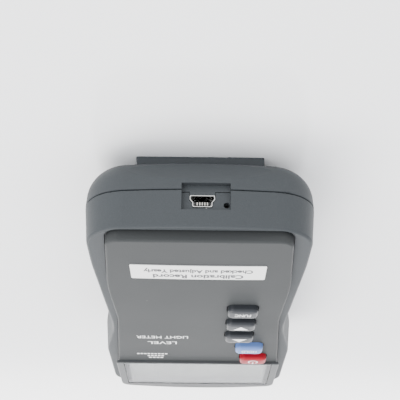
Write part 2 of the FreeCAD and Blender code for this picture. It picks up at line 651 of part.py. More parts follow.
def make_port():
    """The mini-B socket: shell, insert, contacts and riser, with the lamp beside it."""
    wall = size("shell_wall")
    shell = port_prism("usb_shell_outer", PORT_FACE, "shell_long", 0.0)
    hollow = port_prism("usb_shell_hollow", f"{PORT_FACE} + 1", "shell_long + 0.4", wall)
    node("usb_shell", cut("usb_shell", shell, [hollow]))
    front = f"-({PORT_FACE}) + tongue_place"
    block = slab("tongue_block", ("-port_shift", f"{front} + 3.2"), "tongue_low",
                 ("tongue_wide", "6.4", "tongue_high"))
    contact_low = "tongue_low + 0.1"
    slots = contact_rods("contact_slot", f"{front} - contact_proud", contact_low, "tongue_high")
    node("usb_tongue", cut("usb_tongue", block, [join("contact_slots", slots)]))
    strips = contact_rods("contact_strip", f"{front} - contact_proud", contact_low, "tongue_high")
    node("usb_contacts", join("contact_group", strips))
    node("usb_riser", slab("riser", ("-port_shift", f"-({PORT_FACE}) + 5.8"), "port_low + shell_high",
                           ("5.8", "5", "board_under - port_low - shell_high")))
    node("status_lamp", rod("lamp_lens", ("-lamp_place", f"{RECESS_FLOOR} + lamp_deep", "lamp_level"),
                            "lamp_round - 0.05", "2.4", "y"))


def make_probe_socket():
    """The probe's inlet in the far end, with its nut."""
    start = "end_far - jack_tip - jack_long"
    jack = rod("jack_body", ("0", start, JACK_LEVEL), "jack_round", "jack_long", "y")
    bore = rod("jack_way", ("0", f"{start} + 2", JACK_LEVEL), "jack_bore", "jack_long", "y")
    node("probe_socket", cut("probe_socket", jack, [bore]))
    collar = rod("collar_outer", ("0", "end_far - 4.4", JACK_LEVEL), "nut_round", "1.2", "y")
    collar_bore = rod("collar_bore", ("0", "end_far - 6", JACK_LEVEL), "jack_round + 0.02", "6", "y")
    node("probe_socket_nut", cut("probe_socket_nut", collar, [collar_bore]))


# ---------------------------------------------------------------- the back: stand, door, battery, fasteners

def make_stand():
    """The tilt stand, a plate with a barrel on a pin. Folded, it lies under the near half of the back."""
    half = "stand_wide / 2"
    plate_long = "stand_near - pin_place + 1.2"
    plate = slab("stand_plate", ("0", f"-stand_near + ({plate_long}) / 2"), "0",
                 ("stand_wide", plate_long, "stand_thick"))
    barrel = rod("stand_barrel", (f"-{half}", "-pin_place", "pin_level"), "barrel_round", "stand_wide", "x")
    neck = slab("stand_neck", ("0", "-pin_place - 0.2"), "stand_thick - 1.5", ("stand_wide", "2.8", "3.0"))
    bore = rod("stand_bore", (f"-{half} - 1", "-pin_place", "pin_level"), "pin_round + 0.05",
               "stand_wide + 2", "x")
    grip = slab("stand_grip", ("0", "-stand_near + 1"), "stand_thick - 0.8", ("16", "4", "2"))
    node("tilt_stand", cut("tilt_stand", join("stand_whole", [plate, barrel, neck]), [bore, grip]))
    pin_start = ("-(stand_wide + pin_extra) / 2", "-pin_place", "pin_level")
    node("stand_pin", rod("hinge_pin", pin_start, "pin_round", "stand_wide + pin_extra", "x"))
    feet = [rod(f"foot_{side + 1}", (f"{side} * foot_place", "foot_far", "0"), "foot_round", "back_level")
            for side in (-1, 1)]
    node("rubber_feet", join("feet_pair", feet))


def make_battery():
    """The battery, its studs, contacts and door."""
    node("battery_door", slab("door_plate", ("0", "door_middle"), "back_level",
                              ("door_wide", "door_long", "door_thick")))
    case_level = "back_level + door_thick + 0.4"
    middle = "door_middle - battery_shift"
    end = f"{middle} + battery_long / 2"
    node("battery", slab("battery_case", ("0", middle), case_level,
                         ("battery_wide", "battery_long", "battery_thick")))
    studs, plates = [], []
    for side in (-1, 1):
        place = f"{side} * stud_place"
        studs.append(rod(f"stud_{side + 1}", (place, end, f"{case_level} + battery_thick / 2"), "stud_round",
                         "stud_long", "y"))
        plates.append(slab(f"contact_plate_{side + 1}", (place, f"{end} + stud_long + 0.3"),
                           f"{case_level} + 3",
                           ("8", "0.5", f"board_under - ({case_level}) - 3")))
    node("battery_studs", join("stud_pair", studs))
    node("battery_contacts", join("contact_plate_pair", plates))


def make_case_screws():
    """The four long screws that hold the covers together."""
    screws = []
    for index, (x, y) in enumerate(SCREW_PLACES):
        head = rod(f"case_head_{index}", (x, y, "back_level + 4.2"), "2.8", "1.8")
        shank = rod(f"case_shank_{index}", (x, y, "back_level + 5"), "1.25", "16")
        screws.append(join(f"case_screw_{index}", [head, shank]))
    node("case_screws", join("case_screw_group", screws))


make_front_cover()
make_rear_cover()
make_fascia()
make_display()
make_label()
make_keys()
make_board()
make_port()
make_probe_socket()
make_stand()
make_battery()
make_case_screws()
doc.recompute()

for thing in doc.Objects:
    if "Invalid" in thing.State or "Error" in thing.State:
        raise RuntimeError(f"{thing.Name} failed: {thing.State}")
for label, thing in NODES.items():
    if thing.Shape.isNull() or not thing.Shape.isValid() or not thing.Shape.Solids:
        raise RuntimeError(f"{label} has no valid solid")

os.makedirs("parts", exist_ok=True)
for label, thing in NODES.items():
    thing.Shape.exportStep(f"parts/{label}.step")
    print(label, len(thing.Shape.Solids), round(thing.Shape.Volume, 1))
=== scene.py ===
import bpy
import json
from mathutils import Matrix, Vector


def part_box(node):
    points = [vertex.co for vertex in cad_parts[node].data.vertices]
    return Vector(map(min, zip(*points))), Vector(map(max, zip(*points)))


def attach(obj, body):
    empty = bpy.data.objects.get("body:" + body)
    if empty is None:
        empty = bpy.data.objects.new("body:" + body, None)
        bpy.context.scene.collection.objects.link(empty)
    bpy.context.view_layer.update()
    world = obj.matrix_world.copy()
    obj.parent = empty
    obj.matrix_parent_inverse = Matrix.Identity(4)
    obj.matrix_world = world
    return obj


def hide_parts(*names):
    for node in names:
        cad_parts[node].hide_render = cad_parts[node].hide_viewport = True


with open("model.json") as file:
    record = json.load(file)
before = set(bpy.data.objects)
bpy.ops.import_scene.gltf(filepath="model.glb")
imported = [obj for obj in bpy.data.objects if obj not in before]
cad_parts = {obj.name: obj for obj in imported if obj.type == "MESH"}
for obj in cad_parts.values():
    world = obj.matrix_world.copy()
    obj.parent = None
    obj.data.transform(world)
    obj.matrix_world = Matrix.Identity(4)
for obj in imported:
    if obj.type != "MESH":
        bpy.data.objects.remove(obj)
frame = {"nodes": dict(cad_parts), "record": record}

"""Looks of a handheld light meter: moulded case, silicone keys, display, label, port, stand and insides."""

import json
import logging
import math
from dataclasses import dataclass, field
from enum import Enum
from typing import Any, Callable, Iterable, Sequence

import bmesh
import bpy
from mathutils import Matrix, Vector

LOG = logging.getLogger("light_meter")
MM = 0.001
HAIR = 0.00002          # how close an edge has to be to count as lying at a place, in metres
INK_LIFT = 0.00001      # how far print stands off the surface that it lies on
INK_ROOM = 0.00005      # how far a printed key stays below its CAD height, so that the ink fits
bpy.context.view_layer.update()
Point = tuple[float, float, float]
Colour = tuple[float, float, float, float]


# --- shader maths

class Signal:
    """A number output of a node, on which Python's operators add Math nodes."""

    def __init__(self, recipe: "Recipe", socket: bpy.types.NodeSocket) -> None:
        """Keep the recipe that the nodes go into and the output that carries the number."""
        self.recipe = recipe
        self.socket = socket

    def _maths(self, operation: str, first: Any, second: Any) -> "Signal":
        """The output of one new Math node, fed with two numbers or Signals."""
        node = self.recipe.add("ShaderNodeMath", {"operation": operation}, {0: first, 1: second})
        return Signal(self.recipe, node.outputs[0])

    def __add__(self, other: Any) -> "Signal":
        """Add a number or a Signal."""
        return self._maths("ADD", self, other)

    def __radd__(self, other: Any) -> "Signal":
        """Add to a number."""
        return self._maths("ADD", other, self)

    def __sub__(self, other: Any) -> "Signal":
        """Take a number or a Signal away."""
        return self._maths("SUBTRACT", self, other)

    def __rsub__(self, other: Any) -> "Signal":
        """Take this away from a number."""
        return self._maths("SUBTRACT", other, self)

    def __mul__(self, other: Any) -> "Signal":
        """Multiply by a number or a Signal."""
        return self._maths("MULTIPLY", self, other)

    def ramp(self, low: float, high: float) -> "Signal":
        """A smooth step from 0 at one value to 1 at another.

        Args:
            low: the value at which the step starts.
            high: the value at which it ends.

        Returns:
            The step, from 0 to 1.
        """
        settings = {"interpolation_type": "SMOOTHSTEP"}
        node = self.recipe.add("ShaderNodeMapRange", settings, {0: self, 1: low, 2: high, 3: 0.0, 4: 1.0})
        return Signal(self.recipe, node.outputs[0])


class Recipe:
    """One material's node tree, with its shader and object coordinates."""

    def __init__(self, name: str) -> None:
        """Start a material of some name."""
        self.material = bpy.data.materials.new(name)
        self.material.use_nodes = True
        self.tree = self.material.node_tree
        self.shader = next(n for n in self.tree.nodes if n.type == "BSDF_PRINCIPLED")
        self.place = self.add("ShaderNodeTexCoord").outputs["Object"]

    def add(self, kind: str, settings: dict[str, Any] | None = None,
            inputs: dict[Any, Any] | None = None) -> bpy.types.ShaderNode:
        """Add any node: its settings first, then the values or links of its sockets.

        Args:
            kind: the node's type.
            settings: properties of the node.
            inputs: a value, a Signal or an output for each input, by name or index.

        Returns:
            The new node.
        """
        node = self.tree.nodes.new(kind)
        for name, value in (settings or {}).items():
            setattr(node, name, value)
        for key, value in (inputs or {}).items():
            self.feed(node.inputs[key], value)
        return node

    def feed(self, socket: bpy.types.NodeSocket, value: Any) -> None:
        """Link a Signal or an output to a socket, or set the socket's own value."""
        if isinstance(value, Signal):
            self.tree.links.new(value.socket, socket)
        elif isinstance(value, bpy.types.NodeSocket):
            self.tree.links.new(value, socket)
        else:
            socket.default_value = value

    def set(self, name: str, value: Any) -> None:
        """Set or link an input of the shader."""
        self.feed(self.shader.inputs[name], value)

    def stretched(self, scale: Point) -> bpy.types.NodeSocket:
        """Object coordinates stretched along each axis."""
        node = self.add("ShaderNodeMapping", {}, {"Vector": self.place, "Scale": scale})
        return node.outputs["Vector"]

    def noise(self, scale: float, detail: float = 3.0, vector: Any = None) -> Signal:
        """Noise on object coordinates.

        Args:
            scale: how fine it is, in cells a metre.
            detail: how many octaves it has.
            vector: other coordinates to read.

        Returns:
            The noise, from 0 to 1.
        """
        where = vector if vector is not None else self.place
        node = self.add("ShaderNodeTexNoise", {}, {"Vector": where, "Scale": scale, "Detail": detail})
        return Signal(self, node.outputs["Fac"])

    def cells(self, scale: float) -> Signal:
        """The distance to the nearest of many scattered points."""
        node = self.add("ShaderNodeTexVoronoi", {}, {"Vector": self.place, "Scale": scale})
        return Signal(self, node.outputs["Distance"])

    def blend(self, factor: Any, first: Any, second: Any) -> bpy.types.NodeSocket:
        """Mix two colours.

        Args:
            factor: how much of the second, from 0 to 1.
            first: a colour or a colour output.
            second: a colour or a colour output.

        Returns:
            The mixed colour.
        """
        node = self.add("ShaderNodeMix", {"data_type": "RGBA"}, {"Factor": factor})
        colour_inputs = [socket for socket in node.inputs if socket.type == "RGBA"]
        self.feed(colour_inputs[0], first)
        self.feed(colour_inputs[1], second)
        return next(socket for socket in node.outputs if socket.type == "RGBA")

    def bump(self, height: Signal, depth: float, strength: float = 1.0) -> None:
        """Feed the shader's normal with a bump of some depth in metres."""
        node = self.add("ShaderNodeBump", {}, {"Height": height, "Distance": depth, "Strength": strength})
        self.set("Normal", node.outputs["Normal"])


def tone(red: float, green: float, blue: float) -> Colour:
    """An opaque colour."""
    return (red, green, blue, 1.0)


def darker(colour: Colour, share: float) -> Colour:
    """A colour scaled by a share."""
    return (colour[0] * share, colour[1] * share, colour[2] * share, colour[3])


# --- finishes

@dataclass(frozen=True)
class Finish:
    """A named material. Each kind fills in its own recipe."""

    name: str

    def mix(self, recipe: Recipe) -> None:
        """Fill in the recipe."""
        raise NotImplementedError

    def make(self) -> bpy.types.Material:
        """Build the material."""
        recipe = Recipe(self.name)
        self.mix(recipe)
        return recipe.material


@dataclass(frozen=True)
class MouldedPlastic(Finish):
    """Spark-textured plastic with a slight cloud in its colour and a few specks of dust."""

    colour: Colour
    roughness: float = 0.5
    grain: float = 2600.0
    depth: float = 0.00003
    dust: float = 0.25
    gloss: float = 0.28

    def mix(self, recipe: Recipe) -> None:
        """Fill in the recipe."""
        cloud = recipe.noise(38.0, 4.0)
        grain = recipe.noise(self.grain, 2.0)
        pits = recipe.cells(self.grain * 0.55)
        specks = (1 - recipe.cells(240.0).ramp(0.035, 0.075)) * recipe.noise(70.0, 2.0).ramp(0.56, 0.66)
        plain = recipe.blend(cloud, darker(self.colour, 0.93), darker(self.colour, 1.07))
        textured = recipe.blend(grain.ramp(0.35, 0.75) * 0.5, plain, darker(self.colour, 1.18))
        recipe.set("Base Color", recipe.blend(specks * self.dust, textured, tone(0.62, 0.62, 0.60)))
        recipe.set("Roughness", self.roughness + (cloud - 0.5) * 0.12 + (grain - 0.5) * 0.10)
        recipe.set("Specular IOR Level", self.gloss)
        recipe.bump(grain * 0.6 + pits * 0.4, self.depth)


@dataclass(frozen=True)
class Silicone(Finish):
    """Satin silicone rubber for keys."""

    colour: Colour
    roughness: float = 0.42
    gloss: float = 0.3

    def mix(self, recipe: Recipe) -> None:
        """Fill in the recipe."""
        cloud = recipe.noise(160.0, 3.0)
        grain = recipe.noise(5200.0, 2.0)
        recipe.set("Base Color", recipe.blend(cloud, darker(self.colour, 0.9), darker(self.colour, 1.1)))
        recipe.set("Roughness", self.roughness + (grain - 0.5) * 0.14)
        recipe.set("Specular IOR Level", self.gloss)
        recipe.bump(grain, 0.000012)


@dataclass(frozen=True)
class PolishedWindow(Finish):
    """A clear hard-coated plate with faint wiping marks."""

    tint: Colour = (0.93, 0.95, 0.94, 1.0)

    def mix(self, recipe: Recipe) -> None:
        """Fill in the recipe."""
        wiping = recipe.noise(60.0, 4.0, recipe.stretched((1.0, 6.0, 1.0)))
        recipe.set("Base Color", recipe.blend(wiping, darker(self.tint, 0.985), self.tint))
        recipe.set("Roughness", 0.10 + wiping.ramp(0.45, 0.8) * 0.06)
        recipe.set("Transmission Weight", 1.0)
        recipe.set("IOR", 1.49)
        recipe.set("Specular IOR Level", 0.36)
        recipe.set("Coat Weight", 0.1)
        recipe.set("Coat Roughness", 0.04)


@dataclass(frozen=True)
class DisplayCell(Finish):
    """An unpowered liquid crystal cell: grey-green, with a fine dot mesh."""

    colour: Colour

    def mix(self, recipe: Recipe) -> None:
        """Fill in the recipe."""
        cloud = recipe.noise(22.0, 2.0)
        settings = {"wave_type": "BANDS", "bands_direction": "X"}
        lines = recipe.add("ShaderNodeTexWave", settings, {"Vector": recipe.place, "Scale": 500.0})
        mesh = Signal(recipe, lines.outputs["Fac"])
        ground = recipe.blend(cloud, darker(self.colour, 0.96), darker(self.colour, 1.04))
        recipe.set("Base Color", recipe.blend(mesh * 0.06, ground, darker(self.colour, 0.7)))
        recipe.set("Roughness", 0.16 + cloud * 0.05)


@dataclass(frozen=True)
class Metal(Finish):
    """Plated or drawn metal with fine draw lines along one axis."""

    colour: Colour
    roughness: float = 0.25
    lines: Point = (900.0, 60.0, 900.0)

    def mix(self, recipe: Recipe) -> None:
        """Fill in the recipe."""
        drawn = recipe.noise(1.0, 3.0, recipe.stretched(self.lines))
        tarnish = recipe.noise(420.0, 3.0)
        recipe.set("Base Color", recipe.blend(tarnish, darker(self.colour, 0.86), self.colour))
        recipe.set("Metallic", 1.0)
        recipe.set("Roughness", self.roughness + (drawn - 0.5) * 0.16)
        recipe.bump(drawn, 0.000008)


@dataclass(frozen=True)
class Lacquer(Finish):
    """Solder mask or printed sleeve: glossy, with a faint weave or print under it."""

    colour: Colour
    under: Colour
    scale: float = 700.0
    roughness: float = 0.28

    def mix(self, recipe: Recipe) -> None:
        """Fill in the recipe."""
        weave = recipe.noise(self.scale, 1.0, recipe.stretched((1.0, 3.0, 1.0)))
        cloud = recipe.noise(55.0, 3.0)
        recipe.set("Base Color", recipe.blend(weave.ramp(0.48, 0.62) * 0.55, self.colour, self.under))
        recipe.set("Roughness", self.roughness + (cloud - 0.5) * 0.14)
        recipe.bump(weave, 0.00001)


@dataclass(frozen=True)
class PrintedFilm(Finish):
    """White label stock with a slight mottle."""

    colour: Colour

    def mix(self, recipe: Recipe) -> None:
        """Fill in the recipe."""
        mottle = recipe.noise(300.0, 4.0)
        fibre = recipe.noise(1500.0, 2.0)
        recipe.set("Base Color", recipe.blend(mottle, darker(self.colour, 0.96), self.colour))
        recipe.set("Roughness", 0.38 + (fibre - 0.5) * 0.2)
        recipe.bump(fibre, 0.00001)


@dataclass(frozen=True)
class Ink(Finish):
    """Screen-printed ink with slightly uneven cover."""

    colour: Colour

    def mix(self, recipe: Recipe) -> None:
        """Fill in the recipe."""
        cover = recipe.noise(2400.0, 2.0)
        recipe.set("Base Color", recipe.blend(cover.ramp(0.3, 0.7), darker(self.colour, 0.88), self.colour))
        recipe.set("Roughness", 0.45 + (cover - 0.5) * 0.2)


FINISHES: dict[str, Finish] = {finish.name: finish for finish in (
    MouldedPlastic("case_plastic", tone(0.038, 0.042, 0.0445), gloss=0.13),
    MouldedPlastic("fascia_plastic", tone(0.031, 0.033, 0.033), 0.58, 3000.0, 0.00002, 0.15, 0.16),
    MouldedPlastic("bezel_plastic", tone(0.045, 0.048, 0.049), 0.42, 3200.0, 0.000015, 0.1, 0.22),
    MouldedPlastic("door_plastic", tone(0.038, 0.042, 0.0445), 0.52, gloss=0.13),
    MouldedPlastic("stand_plastic", tone(0.038, 0.042, 0.0445), 0.5, 2400.0, gloss=0.15),
    MouldedPlastic("port_black", tone(0.010, 0.010, 0.011), 0.45, 4000.0, 0.00001, 0.0),
    MouldedPlastic("chip_black", tone(0.014, 0.014, 0.014), 0.5, 5000.0, 0.00001, 0.0),
    MouldedPlastic("switch_black", tone(0.02, 0.02, 0.02), 0.45, 4000.0, 0.00001, 0.0),
    MouldedPlastic("frame_white", tone(0.62, 0.62, 0.60), 0.45, 3000.0, 0.00001, 0.0),
    MouldedPlastic("stem_white", tone(0.66, 0.66, 0.64), 0.4, 4000.0, 0.00001, 0.0),
    MouldedPlastic("jack_black", tone(0.018, 0.018, 0.019), 0.35, 4000.0, 0.00001, 0.0),
    Silicone("key_grey", tone(0.014, 0.016, 0.019)),
    Silicone("key_blue", tone(0.085, 0.155, 0.37)),
    Silicone("key_red", tone(0.26, 0.001, 0.010), gloss=0.16),
    Silicone("mat_clear", tone(0.22, 0.23, 0.24), 0.5),
    Silicone("strip_grey", tone(0.10, 0.10, 0.11), 0.6),
    Silicone("foot_rubber", tone(0.016, 0.016, 0.017), 0.7),
    PolishedWindow("window_clear"),
    PolishedWindow("guide_clear", tone(0.90, 0.93, 0.95)),
    DisplayCell("display_cell", tone(0.20, 0.215, 0.185)),
    Metal("can_metal", tone(0.72, 0.73, 0.75), 0.3),
    Metal("port_metal", tone(0.50, 0.50, 0.49), 0.2),
    Metal("contact_gold", tone(0.48, 0.46, 0.42), 0.3),
    Metal("pin_steel", tone(0.60, 0.60, 0.61), 0.3, (60.0, 900.0, 900.0)),
    Metal("screw_steel", tone(0.42, 0.42, 0.43), 0.35),
    Metal("spring_plate", tone(0.66, 0.65, 0.62), 0.28),
    Lacquer("board_green", tone(0.010, 0.085, 0.035), tone(0.020, 0.13, 0.055)),
    Lacquer("cell_wrap", tone(0.020, 0.026, 0.045), tone(0.03, 0.04, 0.07), 90.0, 0.3),
    Lacquer("tape_black", tone(0.012, 0.012, 0.012), tone(0.02, 0.02, 0.02)),
    Lacquer("lamp_dark", tone(0.016, 0.014, 0.014), tone(0.03, 0.02, 0.02), 300.0, 0.1),
    PrintedFilm("label_paper", tone(0.80, 0.80, 0.77)),
    Ink("ink_white", tone(0.78, 0.78, 0.76)),
    Ink("ink_black", tone(0.035, 0.033, 0.038)),
)}


class Palette:
    """The finished materials, each made once."""

    def __init__(self) -> None:
        """Start with nothing made."""
        self.made: dict[str, bpy.types.Material] = {}

    def get(self, slot: str) -> bpy.types.Material:
        """The material of one of the record's slots."""
        if slot not in self.made:
            self.made[slot] = FINISHES[slot].make()
        return self.made[slot]

    def dress(self, piece: bpy.types.Object, slot: str) -> None:
        """Give a piece the finish of a slot, all over."""
        piece.data.materials.clear()
        piece.data.materials.append(self.get(slot))


# --- the studio

@dataclass
class Studio:
    """Camera, floor and soft lights. Lengths in metres, angles in degrees."""

    eye: Point = (0.0, -0.3283, 0.1426)
    pitch: float = 27.0
    yaw: float = 0.10
    roll: float = -0.6
    lens: float = 77.7
    floor_half: float = 1.6

    def make_camera(self) -> None:
        """Put the camera over the USB end, held upside down."""
        data = bpy.data.cameras.new("camera")
        data.lens = self.lens
        camera = bpy.data.objects.new("camera", data)
        bpy.context.scene.collection.objects.link(camera)
        dip = math.radians(self.pitch)
        look = Vector((0.0, math.cos(dip), -math.sin(dip)))
        upside_down = Vector((0.0, -math.sin(dip), -math.cos(dip)))
        top = Matrix.Rotation(math.radians(self.roll), 3, look) @ upside_down
        side = top.cross(-look)
        turn = Matrix((side, top, -look)).transposed().to_4x4()
        pivot = Vector((0.0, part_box("front_cover")[0].y, 0.0))
        orbit = (Matrix.Translation(pivot) @ Matrix.Rotation(math.radians(self.yaw), 4, "Z")
                 @ Matrix.Translation(-pivot))
        camera.matrix_world = orbit @ Matrix.Translation(Vector(self.eye)) @ turn
        bpy.context.scene.camera = camera

    def make_floor(self) -> None:
        """Lay a pale, slightly glossy table."""
        bpy.ops.mesh.primitive_plane_add(size=2 * self.floor_half, location=(0, 0, -HAIR))
        floor = bpy.context.object
        floor.name = "floor"
        recipe = Recipe("floor_white")
        cloud = recipe.noise(3.0, 2.0)
        recipe.set("Base Color", recipe.blend(cloud, tone(0.90, 0.90, 0.89), tone(0.94, 0.94, 0.93)))
        recipe.set("Roughness", 0.14)
        floor.data.materials.append(recipe.material)

    def hang_lamp(self, name: str, place: Point, aim: Point, size: tuple[float, float], power: float,
                  colour: tuple[float, float, float]) -> None:
        """Hang one soft rectangular lamp.

        Args:
            name: the lamp's name.
            place: where it hangs.
            aim: the point that it faces.
            size: its two sides.
            power: its power in watts.
            colour: its colour.
        """
        data = bpy.data.lights.new(name, "AREA")
        data.shape = "RECTANGLE"
        data.size, data.size_y = size
        data.energy = power
        data.color = colour
        lamp = bpy.data.objects.new(name, data)
        lamp.location = place
        lamp.rotation_euler = (Vector(aim) - Vector(place)).to_track_quat("-Z", "Y").to_euler()
        bpy.context.scene.collection.objects.link(lamp)

    def make_lights(self) -> None:
        """Hang broad soft lamps over the table, in a bright even room."""
        world = bpy.data.worlds.new("room")
        bpy.context.scene.world = world
        world.use_nodes = True
        ground = world.node_tree.nodes["Background"]
        ground.inputs["Color"].default_value = (0.94, 0.955, 1.0, 1.0)
        ground.inputs["Strength"].default_value = 2.4
        warm, cool = (1.0, 0.985, 0.96), (0.93, 0.96, 1.0)
        self.hang_lamp("far_window", (0.0, 1.5, 0.19), (0.0, 0.0, 0.19), (3.4, 0.36), 19.0, warm)
        self.hang_lamp("key_lamp", (0.55, 0.3, 1.1), (0.0, 0.0, 0.0), (0.9, 0.9), 22.0, warm)
        self.hang_lamp("fill_lamp", (0.8, -1.0, 0.4), (0.0, 0.0, 0.0), (0.8, 0.8), 11.0, cool)

    def make(self) -> None:
        """Set the whole studio up."""
        self.make_camera()
        self.make_floor()
        self.make_lights()


# --- modelling by hand

FaceTest = Callable[[Vector, Vector], bool]
EdgeTest = Callable[[Vector, Vector], bool]


class Workpiece:
    """One mesh on the bench: a primitive at its size and place, shaped in edit mode, then finished."""

    def __init__(self, name: str) -> None:
        """Start with an empty bench, for a piece of some name."""
        self.name = name
        self.thing: bpy.types.Object | None = None

    def _take(self) -> "Workpiece":
        """Name the newest primitive and put its size and place into its mesh."""
        bpy.ops.object.transform_apply(location=True, rotation=True, scale=True)
        self.thing = bpy.context.object
        self.thing.name = self.name
        return self

    def box(self, low: Sequence[float], high: Sequence[float]) -> "Workpiece":
        """Start from a box between two corners, in metres."""
        bpy.ops.object.select_all(action="DESELECT")
        middle = [(a + b) / 2 for a, b in zip(low, high)]
        spans = [b - a for a, b in zip(low, high)]
        bpy.ops.mesh.primitive_cube_add(size=1.0, location=middle, scale=spans)
        return self._take()

    def rod(self, foot: Sequence[float], radius: float, length: float, axis: str = "z",
            sides: int = 48) -> "Workpiece":
        """Start from a round rod.

        Args:
            foot: the middle of its low end, in metres.
            radius: its radius.
            length: its length along the axis.
            axis: x, y or z.
            sides: how many flat sides it has.

        Returns:
            This workpiece.
        """
        bpy.ops.object.select_all(action="DESELECT")
        turns = {"x": (0.0, math.pi / 2, 0.0), "y": (-math.pi / 2, 0.0, 0.0), "z": (0.0, 0.0, 0.0)}
        middle = list(foot)
        middle["xyz".index(axis)] += length / 2
        bpy.ops.mesh.primitive_cylinder_add(vertices=sides, radius=radius, depth=length, location=middle,
                                            rotation=turns[axis])
        return self._take()

    def hold(self) -> None:
        """Select this piece alone and make it the active one."""
        bpy.ops.object.select_all(action="DESELECT")
        self.thing.select_set(True)
        bpy.context.view_layer.objects.active = self.thing

    def open_bench(self) -> bmesh.types.BMesh:
        """Enter edit mode in face mode with nothing selected, and return the mesh being edited."""
        self.hold()
        bpy.ops.object.mode_set(mode="EDIT")
        bpy.ops.mesh.select_mode(type="FACE")
        bpy.ops.mesh.select_all(action="DESELECT")
        mesh = bmesh.from_edit_mesh(self.thing.data)
        mesh.normal_update()
        return mesh

    def close_bench(self) -> None:
        """Leave edit mode."""
        bpy.ops.object.mode_set(mode="OBJECT")

    def on_faces(self, test: FaceTest, work: Callable[[], Any]) -> "Workpiece":
        """Select the faces that pass a test and do some work on them.

        Args:
            test: takes a face's centre and normal.
            work: what is done with the faces selected.

        Returns:
            This workpiece.
        """
        mesh = self.open_bench()
        for face in mesh.faces:
            if test(face.calc_center_median(), face.normal):
                face.select_set(True)
        bmesh.update_edit_mesh(self.thing.data)
        work()
        self.close_bench()
        return self

    def on_edges(self, test: EdgeTest, work: Callable[[], Any]) -> "Workpiece":
        """Select the edges that pass a test and do some work on them.

        Args:
            test: takes an edge's middle and its direction as absolute values.
            work: what is done with the edges selected.

        Returns:
            This workpiece.
        """
        mesh = self.open_bench()
        bpy.ops.mesh.select_mode(type="EDGE")
        for edge in mesh.edges:
            run = edge.verts[1].co - edge.verts[0].co
            way = Vector(abs(part) for part in run).normalized()
            if test((edge.verts[0].co + edge.verts[1].co) / 2, way):
                edge.select_set(True)
        bmesh.update_edit_mesh(self.thing.data)
        work()
        self.close_bench()
        return self

    def bevel_edges(self, test: EdgeTest, width: float, steps: int = 3) -> "Workpiece":
        """Round the edges that pass a test."""
        return self.on_edges(test, lambda: bpy.ops.mesh.bevel(offset=width, segments=steps, profile=0.5))

    def inset_faces(self, test: FaceTest, width: float, lift: float = 0.0) -> "Workpiece":
        """Inset the faces that pass a test, and lift or sink what is inside."""
        def work() -> None:
            """Inset, then move the inner faces along their normal."""
            bpy.ops.mesh.inset(thickness=width, depth=0.0)
            if lift:
                bpy.ops.mesh.inset(thickness=abs(lift) * 0.35, depth=lift)
        return self.on_faces(test, work)

    def move_faces(self, test: FaceTest, step: Point) -> "Workpiece":
        """Move the faces that pass a test."""
        return self.on_faces(test, lambda: bpy.ops.transform.translate(value=step))

    def modify(self, kind: str, **settings: Any) -> "Workpiece":
        """Add a modifier with its settings and apply it."""
        self.hold()
        modifier = self.thing.modifiers.new(kind.lower(), kind)
        for name, value in settings.items():
            setattr(modifier, name, value)
        bpy.ops.object.modifier_apply(modifier=modifier.name)
        return self

    def carve(self, tool: "Workpiece", operation: str = "DIFFERENCE") -> "Workpiece":
        """Cut another workpiece out of this one, or fuse it on, and clear it away."""
        self.modify("BOOLEAN", object=tool.thing, operation=operation, solver="EXACT")
        bpy.data.objects.remove(tool.thing)
        return self

    def weld_on(self, others: Iterable["Workpiece"]) -> "Workpiece":
        """Join loose shells of other workpieces into this one's mesh."""
        self.hold()
        for other in others:
            other.thing.select_set(True)
        bpy.ops.object.join()
        return self

    def copy(self, name: str, step: Point) -> "Workpiece":
        """A copy with a mesh of its own, moved by a step."""
        twin = Workpiece(name)
        twin.thing = self.thing.copy()
        twin.thing.data = self.thing.data.copy()
        twin.thing.name = name
        bpy.context.scene.collection.objects.link(twin.thing)
        twin.thing.data.transform(Matrix.Translation(step))
        return twin

    def finish(self, palette: "Palette", slot: str, body: str, angle: float = 35.0,
               flats: bool = True, turn_out: bool = True) -> bpy.types.Object:
        """Turn the normals outwards, smooth the shallow edges, dress the piece and hang it on its body.

        Args:
            palette: the materials.
            slot: the record's material slot.
            body: the CAD body that the piece moves with.
            angle: edges sharper than this stay sharp, in degrees.
            flats: whether large flat faces keep their own normal up to their rounded edges.
            turn_out: whether the normals have to be turned outwards; thin films already face out.

        Returns:
            The finished object.
        """
        self.open_bench()
        bpy.ops.mesh.select_all(action="SELECT")
        bpy.ops.mesh.remove_doubles(threshold=HAIR / 10)
        if turn_out:
            bpy.ops.mesh.normals_make_consistent(inside=False)
        self.close_bench()
        bpy.ops.object.shade_smooth_by_angle(angle=math.radians(angle))
        if flats:
            self.modify("WEIGHTED_NORMAL", keep_sharp=True, weight=100)
        palette.dress(self.thing, slot)
        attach(self.thing, body)
        LOG.info("%s: %d faces", self.name, len(self.thing.data.polygons))
        return self.thing


def upright(middle: Vector, way: Vector) -> bool:
    """Whether an edge stands along Z."""
    return way.z > 0.99


def level_at(height: float, slack: float = HAIR) -> EdgeTest:
    """A test for edges that lie flat at one height."""
    def test(middle: Vector, way: Vector) -> bool:
        """Whether the edge is flat and at that height."""
        return way.z < 0.01 and abs(middle.z - height) < slack
    return test


def facing(direction: Point, least: float = 0.9) -> FaceTest:
    """A test for faces that look one way."""
    aim = Vector(direction)

    def test(centre: Vector, normal: Vector) -> bool:
        """Whether the face looks that way."""
        return normal.dot(aim) > least
    return test


